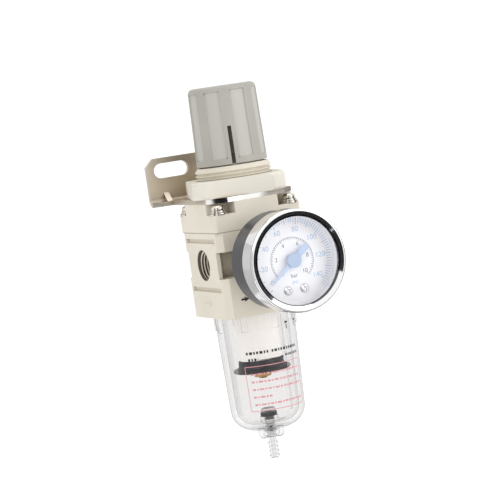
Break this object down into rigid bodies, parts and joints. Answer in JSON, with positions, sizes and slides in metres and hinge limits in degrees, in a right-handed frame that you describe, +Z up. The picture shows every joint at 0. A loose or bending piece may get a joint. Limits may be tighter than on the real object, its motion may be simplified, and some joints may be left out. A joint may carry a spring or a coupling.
{
  "type": "air filter regulator",
  "caption": "Modular air filter-regulator with round pressure gauge, adjusting knob, clear filter bowl with drain barb, and slotted angle bracket under a square panel nut.",
  "frame": {"origin": "where the axis through the two ports crosses the knob and bowl axis", "axes": "+Z up along the knob axis; -X the inlet port, +X the outlet port; -Y the gauge; +Y the bracket's mounting face"},
  "size_m": [0.0564, 0.088, 0.1632],
  "materials": {
    "ivory_paint": "satin",
    "ivory_plastic": "satin",
    "grey_plastic": "satin",
    "nickel": "polished",
    "chrome": "polished",
    "steel": "satin",
    "aluminium": "satin",
    "brass": "satin",
    "rubber": "matte",
    "black_plastic": "satin",
    "white_plastic": "matte",
    "filter_white": "matte",
    "clear_plastic": "clear",
    "lens_clear": "clear",
    "case_paint": "satin",
    "dial_white": "matte",
    "needle_blue": "satin"
  },
  "bodies": {
    "root": {"body": "ivory_paint", "bonnet": "ivory_paint", "bonnet_screws": "nickel", "screw_washers": "nickel", "panel_nut": "ivory_plastic", "bracket": "nickel", "thrust_washer": "white_plastic", "main_spring": "steel", "diaphragm": "rubber", "valve_spring": "steel", "valve_guide": "black_plastic", "guide_seal": "rubber", "centre_stud": "brass", "deflector": "black_plastic", "filter_element": "filter_white", "baffle": "black_plastic", "element_nut": "brass", "rear_plug": "steel", "gauge_socket": "brass", "gauge_case": "case_paint", "gauge_bezel": "chrome", "lens_gasket": "rubber", "gauge_lens": "lens_clear", "gauge_dial": "dial_white", "dial_screws": "nickel", "bourdon_tube": "brass", "movement_frame": "brass"},
    "adjusting_screw": {"adjusting_screw": "steel"},
    "knob": {"knob": "grey_plastic"},
    "spring_seat": {"spring_seat": "brass"},
    "diaphragm_group": {"diaphragm_plate": "aluminium", "relief_seat": "brass"},
    "valve": {"valve": "rubber"},
    "bowl_seal": {"bowl_seal": "rubber"},
    "bowl": {"bowl": "clear_plastic"},
    "drain_valve": {"drain_valve": "clear_plastic", "drain_seal": "rubber"},
    "drain_knob": {"drain_knob": "clear_plastic"},
    "needle": {"needle": "needle_blue", "pinion": "brass"},
    "sector_gear": {"sector_gear": "brass"},
    "movement_link": {"movement_link": "brass"}
  },
  "joints": [
    {"name": "knob_turn", "type": "hinge", "parent": "root", "child": "adjusting_screw", "pos_m": [0, 0, 0.06], "axis": [0, 0, -1], "range_deg": [0, 1800]},
    {"name": "knob_lift", "type": "slide", "parent": "adjusting_screw", "child": "knob", "axis": [0, 0, 1], "range_m": [0, 0.0025]},
    {"name": "spring_seat_travel", "type": "slide", "parent": "root", "child": "spring_seat", "axis": [0, 0, -1], "range_m": [0, 0.00751], "deforming": ["main_spring"]},
    {"name": "diaphragm_travel", "type": "slide", "parent": "root", "child": "diaphragm_group", "axis": [0, 0, -1], "range_m": [0, 0.0012], "deforming": ["diaphragm"]},
    {"name": "valve_travel", "type": "slide", "parent": "root", "child": "valve", "axis": [0, 0, -1], "range_m": [0, 0.00121], "deforming": ["valve_spring"]},
    {"name": "bowl_drop", "type": "slide", "parent": "root", "child": "bowl_seal", "axis": [0, 0, -1], "range_m": [0, 0.00801]},
    {"name": "bowl_turn", "type": "hinge", "parent": "bowl_seal", "child": "bowl", "pos_m": [0, 0, -0.03], "axis": [0, 0, -1], "range_deg": [0, 720]},
    {"name": "drain_lift", "type": "slide", "parent": "bowl", "child": "drain_valve", "axis": [0, 0, 1], "range_m": [0, 0.00101]},
    {"name": "drain_turn", "type": "hinge", "parent": "bowl", "child": "drain_knob", "pos_m": [0, 0, -0.076], "axis": [0, 0, -1], "range_deg": [0, 90]},
    {"name": "needle_turn", "type": "hinge", "parent": "root", "child": "needle", "pos_m": [0, -0.049, 0], "axis": [0, 1, 0], "range_deg": [0, 263]},
    {"name": "sector_turn", "type": "hinge", "parent": "root", "child": "sector_gear", "pos_m": [0, -0.041, 0.0084], "axis": [0, 1, 0], "range_deg": [-43.9, 0.05]},
    {"name": "link_turn", "type": "hinge", "parent": "sector_gear", "child": "movement_link", "pos_m": [-0.0039, -0.04, 0.01065], "axis": [0, 1, 0], "range_deg": [-0.05, 43.9]}
  ],
  "couplings": [
    {"joint": "spring_seat_travel", "follows": "knob_turn", "m_per_rad": 0.00023873},
    {"joint": "valve_travel", "follows": "diaphragm_travel", "ratio": 1},
    {"joint": "bowl_drop", "follows": "bowl_turn", "m_per_rad": 0.00063662},
    {"joint": "drain_lift", "follows": "drain_turn", "m_per_rad": 0.00063662},
    {"joint": "sector_turn", "follows": "needle_turn", "ratio": -0.16667},
    {"joint": "link_turn", "follows": "needle_turn", "ratio": 0.16667}
  ]
}
